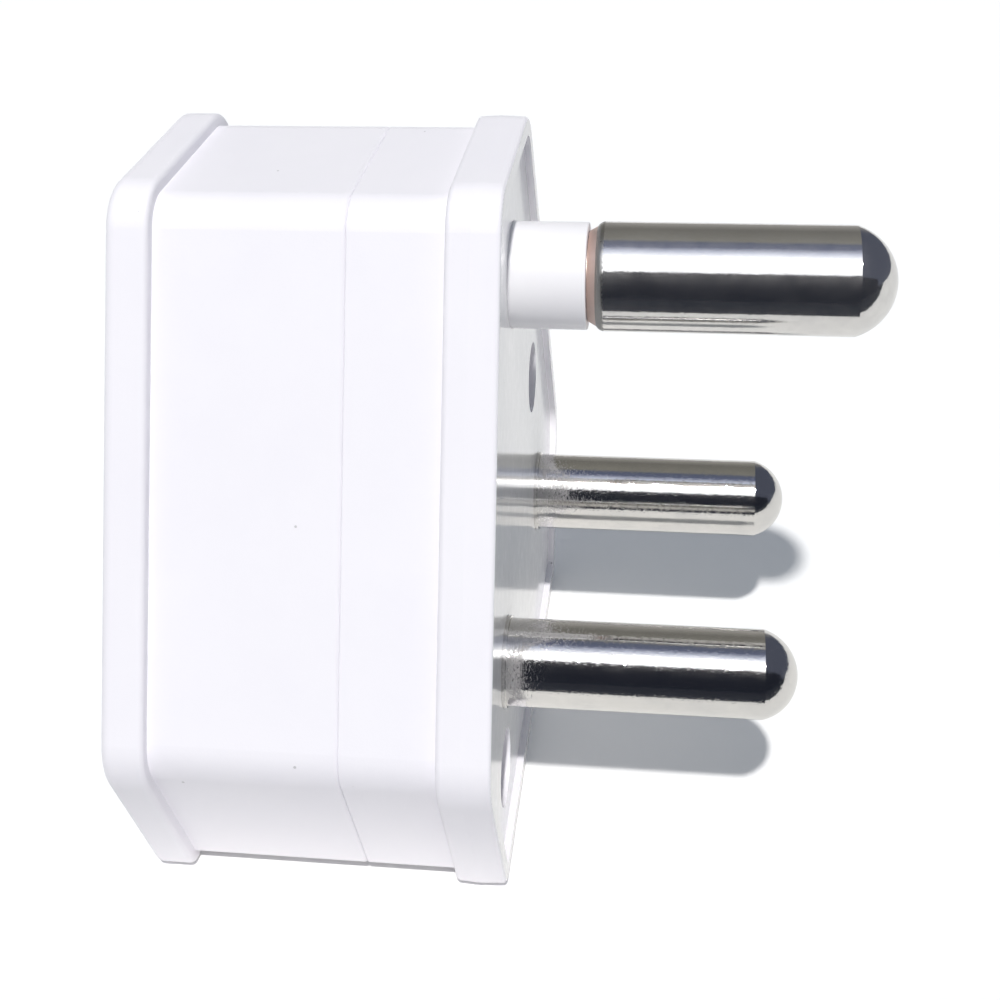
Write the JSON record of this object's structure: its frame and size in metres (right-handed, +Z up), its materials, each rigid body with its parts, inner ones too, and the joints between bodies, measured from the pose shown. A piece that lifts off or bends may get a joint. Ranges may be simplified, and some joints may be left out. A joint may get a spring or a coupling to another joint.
{
  "type": "plug adapter",
  "caption": "White moulded plug adapter with a universal socket face on the front and heavy round pins, the earth pin sleeved at its foot, on the back.",
  "frame": {"origin": "on the surface that the adapter stands on, under the plane of the rear rim, half way along the whole adapter", "axes": "+X the way the pins point, +Z up towards the earth pin, +Y towards the neutral pin"},
  "size_m": [0.0586, 0.0554, 0.055],
  "materials": {
    "front_plastic": "fine moulded satin",
    "rear_plastic": "semi-gloss moulded",
    "sleeve_plastic": "semi-gloss moulded",
    "live_pin_plating": "bright nickel plating",
    "earth_pin_plating": "bright nickel plating",
    "contact_brass": "bright rolled sheet",
    "screw_steel": "zinc plated"
  },
  "bodies": {
    "root": {"front_shell": "front_plastic", "rear_base": "rear_plastic", "earth_pin_sleeve": "sleeve_plastic", "line_pin": "live_pin_plating", "neutral_pin": "live_pin_plating", "earth_pin": "earth_pin_plating", "line_contact": "contact_brass", "neutral_contact": "contact_brass", "earth_contact": "contact_brass", "terminal_screws": "screw_steel", "spring_washers": "screw_steel", "closure_screws": "screw_steel"}
  },
  "joints": []
}
